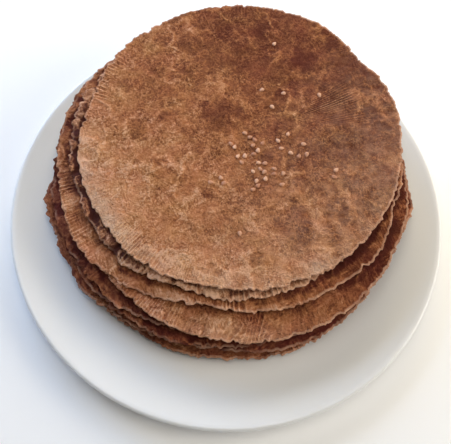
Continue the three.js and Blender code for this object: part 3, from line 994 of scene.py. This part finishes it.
def scratches(tree, scale, shift):
    """Short fine scratches, about 0.5, that run one way here and another way there."""
    first, second = [
        noise(tree, scale, 3, shift, SCRATCH_ROUGHNESS, turn, SCRATCH_STRETCH) for turn in SCRATCH_TURNS
    ]
    way = maths(tree, "MULTIPLY_ADD", noise(tree, SCRATCH_WAY_SCALE, 2, shift + 5), *SCRATCH_WAY_LEVELS)
    node = tree.nodes.new("ShaderNodeMix")
    put_all(tree, node, {0: way, 2: first, 3: second})
    return node.outputs[0]


def press_ridges(tree):
    """The press ridges of the mesh again, as fine as the picture needs, about 0."""
    wave = maths(tree, "SINE", mask(tree, "turn"))
    crest = maths(tree, "MULTIPLY_ADD", wave, RIDGE_SHARPNESS, -RIDGE_SHARPNESS)
    height = maths(tree, "SUBTRACT", maths(tree, "EXPONENT", crest), RIDGE_MEAN)
    return maths(tree, "MULTIPLY", mask(tree, "comb"), height)


def grain_strength(tree, shift):
    """How strong the fine grain is: in patches, and less where the crust is dark."""
    patches = maths(tree, "MULTIPLY_ADD", noise(tree, PATCH_SCALE, 2, shift + 7), *PATCH_LEVELS)
    by_tone = maths(tree, "MULTIPLY_ADD", mask(tree, "pale"), *GRAIN_BY_TONE)
    patches = maths(tree, "MAXIMUM", patches, LEAST_PATCH)
    return maths(tree, "MULTIPLY", patches, maths(tree, "MINIMUM", by_tone, MOST_BY_TONE))


def bread_material(bread):
    """Dry roasted wholewheat: mottled brown with darker blisters, fine wrinkles and a floury edge, with
    painted light and shade on its relief, edge and under the breads above.
    """
    material, tree, shader = new_material(bread.name + "_crust")
    shift = bread.seed * MM
    mottle = noise(tree, MOTTLE_SCALE, 4, shift + 1, MOTTLE_ROUGHNESS)
    cloud = noise(tree, CLOUD_SCALE, 3, shift + 2)
    strength = grain_strength(tree, shift)
    grain = about(tree, scratches(tree, GRAIN_SCALE, shift), 1)
    raised = fibres(tree, RAISED_SCALE, shift + 3)
    sunk = fibres(tree, SUNK_SCALE, shift + 4)
    grain, raised, sunk = [maths(tree, "MULTIPLY", value, strength) for value in (grain, raised, sunk)]
    ridges = press_ridges(tree)

    pale = mask(tree, "pale")
    # The ridges' paler crests and darker grooves are partly painted light and shade
    for value, paler in (
        (ridges, PALER_RIDGE),
        (raised, PALER_RAISED * bread.grainy),
        (sunk, PALER_SUNK * bread.grainy),
        (grain, PALER_GRAIN * bread.gritty),
    ):
        pale = maths(tree, "MULTIPLY_ADD", value, paler, pale)
    for value, paler in ((mottle, PALER_MOTTLE), (cloud, PALER_CLOUD)):
        pale = maths(tree, "ADD", pale, about(tree, value, paler * bread.grainy))
    pale = maths(tree, "SMOOTH_MAX", pale, bread.darkest, DARKEST_BLEND)
    colour = ramp(tree, pale, CRUST_COLOURS)
    colour = toned(tree, colour, noise(tree, HUE_SCALE, 1, shift + 6), bread.redder, bread.greyer)
    for name, breaks, most, cover in (
        ("flour", FLOUR_BREAKS, MOST_FLOUR, FLOUR_COLOUR),
        ("rim", RIM_BREAKS, MOST_RIM, RIM_FLOUR_AND_HIGHLIGHT_COLOUR),
    ):
        shown = maths(tree, "MULTIPLY", mask(tree, name), maths(tree, "MULTIPLY_ADD", mottle, *breaks))
        colour = mix(tree, maths(tree, "MINIMUM", shown, most), colour, linear(*cover))

    height = maths(tree, "MULTIPLY_ADD", mottle, MOTTLE_BUMP, grain)
    for value, amount in ((raised, FIBRE_BUMP), (sunk, -FIBRE_BUMP), (ridges, RIDGE_BUMP)):
        height = maths(tree, "MULTIPLY_ADD", value, amount, height)
    put_all(tree, shader, {
        "Base Color": colour,
        "Roughness": CRUST_ROUGHNESS,
        "Specular IOR Level": CRUST_SPECULAR,
        "Normal": bump(tree, height, 1, CRUST_BUMP),
    })
    return material


def glaze_material():
    """White glazed ceramic: soft gloss, with a faint unevenness in tone and surface."""
    material, tree, shader = new_material("white_glaze")
    gloss = noise(tree, GLAZE_GLOSS_SCALE, 1, 3)
    waves = noise(tree, GLAZE_WAVE_SCALE, 0, 5)
    put_all(tree, shader, {
        "Base Color": ramp(tree, noise(tree, GLAZE_TONE_SCALE, 1), GLAZE_COLOURS),
        "Roughness": maths(tree, "MULTIPLY_ADD", gloss, *GLAZE_ROUGHNESS),
        "Normal": bump(tree, waves, *GLAZE_WAVES),
    })
    return material


def sesame_material():
    """Hulled sesame: cream to tan from seed to seed, with a satin skin."""
    material, tree, shader = new_material("sesame_skin")
    uneven = about(tree, noise(tree, SEED_TINT_SCALE, 2), SEED_TINT_SPREAD)
    skin = noise(tree, SEED_SKIN_SCALE, 2, 2)
    put_all(tree, shader, {
        "Base Color": ramp(tree, maths(tree, "ADD", mask(tree, "tint"), uneven), SEED_COLOURS),
        "Roughness": SEED_ROUGHNESS,
        "Normal": bump(tree, skin, *SEED_SKIN),
    })
    return material


def floor_material():
    """Plain pale studio floor that glows far out."""
    material, tree, shader = new_material("pale_floor")
    coordinates = tree.nodes.new("ShaderNodeTexCoord")
    away = tree.nodes.new("ShaderNodeVectorMath")
    away.operation = "LENGTH"
    put(tree, away.inputs[0], coordinates.outputs["Object"])
    put_all(tree, shader, {
        "Base Color": ramp(tree, noise(tree, FLOOR_TONE_SCALE, 2), FLOOR_COLOURS),
        "Roughness": FLOOR_ROUGHNESS,
        "Emission Color": WHITE,
        "Emission Strength": passage(tree, away.outputs["Value"], *FLOOR_GLOW, 0, STUDIO_WHITE),
    })
    return material


# Stage, light and camera

def add_floor():
    """A wide pale floor under the plate."""
    half = FLOOR_HALF_SIDE
    corners = [(-half, -half, 0), (half, -half, 0), (half, half, 0), (-half, half, 0)]
    floor = mesh_object("studio_floor", corners, [(0, 1, 2, 3)])
    floor.data.materials.append(floor_material())


def add_light(name, azimuth, elevation, power, colour):
    """A soft square light that looks at the plate."""
    light = bpy.data.lights.new(name, "AREA")
    light.shape = "SQUARE"
    light.size = LIGHT_SIZE * MM
    light.energy = power
    light.color = colour
    lamp = bpy.data.objects.new(name, light)
    around = math.radians(azimuth)
    up = math.radians(elevation)
    towards = Vector((math.cos(up) * math.cos(around), math.cos(up) * math.sin(around), math.sin(up)))
    lamp.location = towards * LIGHT_DISTANCE * MM
    lamp.rotation_euler = (-towards).to_track_quat("-Z", "Y").to_euler()
    bpy.context.scene.collection.objects.link(lamp)


def add_world():
    """A studio, pale low down behind the floor and dark above, so that the soft lights do the lighting."""
    world = bpy.data.worlds.new("studio")
    world.use_nodes = True
    tree = world.node_tree
    background = tree.nodes["Background"]
    coordinates = tree.nodes.new("ShaderNodeTexCoord")
    direction = tree.nodes.new("ShaderNodeSeparateXYZ")
    put(tree, direction.inputs[0], coordinates.outputs["Generated"])
    start, end = [math.sin(math.radians(elevation)) for elevation in WALL_TOP]
    strength = passage(tree, direction.outputs["Z"], start, end, STUDIO_WHITE, 0)
    put_all(tree, background, {"Color": WHITE, "Strength": strength})
    bpy.context.scene.world = world


def add_camera():
    """The photograph's camera, turned a little about its view."""
    camera = bpy.data.cameras.new("camera")
    camera.lens = CAMERA_LENS
    camera.sensor_width = CAMERA_SENSOR
    elevation = math.radians(CAMERA_ELEVATION)
    back = Vector((0, -math.cos(elevation), math.sin(elevation)))
    right = Vector((1, 0, 0))
    turn = Matrix((right, back.cross(right), back)).transposed().to_4x4()
    roll = Matrix.Rotation(math.radians(CAMERA_ROLL), 4, "Z")
    place = (Vector(CAMERA_TARGET) + back * CAMERA_DISTANCE) * MM
    viewer = bpy.data.objects.new("camera", camera)
    viewer.matrix_world = Matrix.Translation(place) @ turn @ roll
    bpy.context.scene.collection.objects.link(viewer)
    bpy.context.scene.camera = viewer


# Making the object

def dress(piece, material):
    """Give a piece its material and slot, and let it ride on the one body."""
    piece.data.materials.append(material)
    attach(piece, "root")


plate = plate_object()
dress(plate, glaze_material())
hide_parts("plate")

for bread in BREADS:
    set_height(bread)
for bread in BREADS:
    piece = bread_object(bread, TOP_ZONES if bread is BREADS[-1] else LOWER_ZONES)
    dress(piece, bread_material(bread))
    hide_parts(bread.name)

seeds = seeds_object(BREADS[-1])
dress(seeds, sesame_material())

add_floor()
for name, values in LIGHTS.items():
    add_light(name, *values)
add_world()
add_camera()
bpy.context.scene.view_settings.view_transform = "Standard"
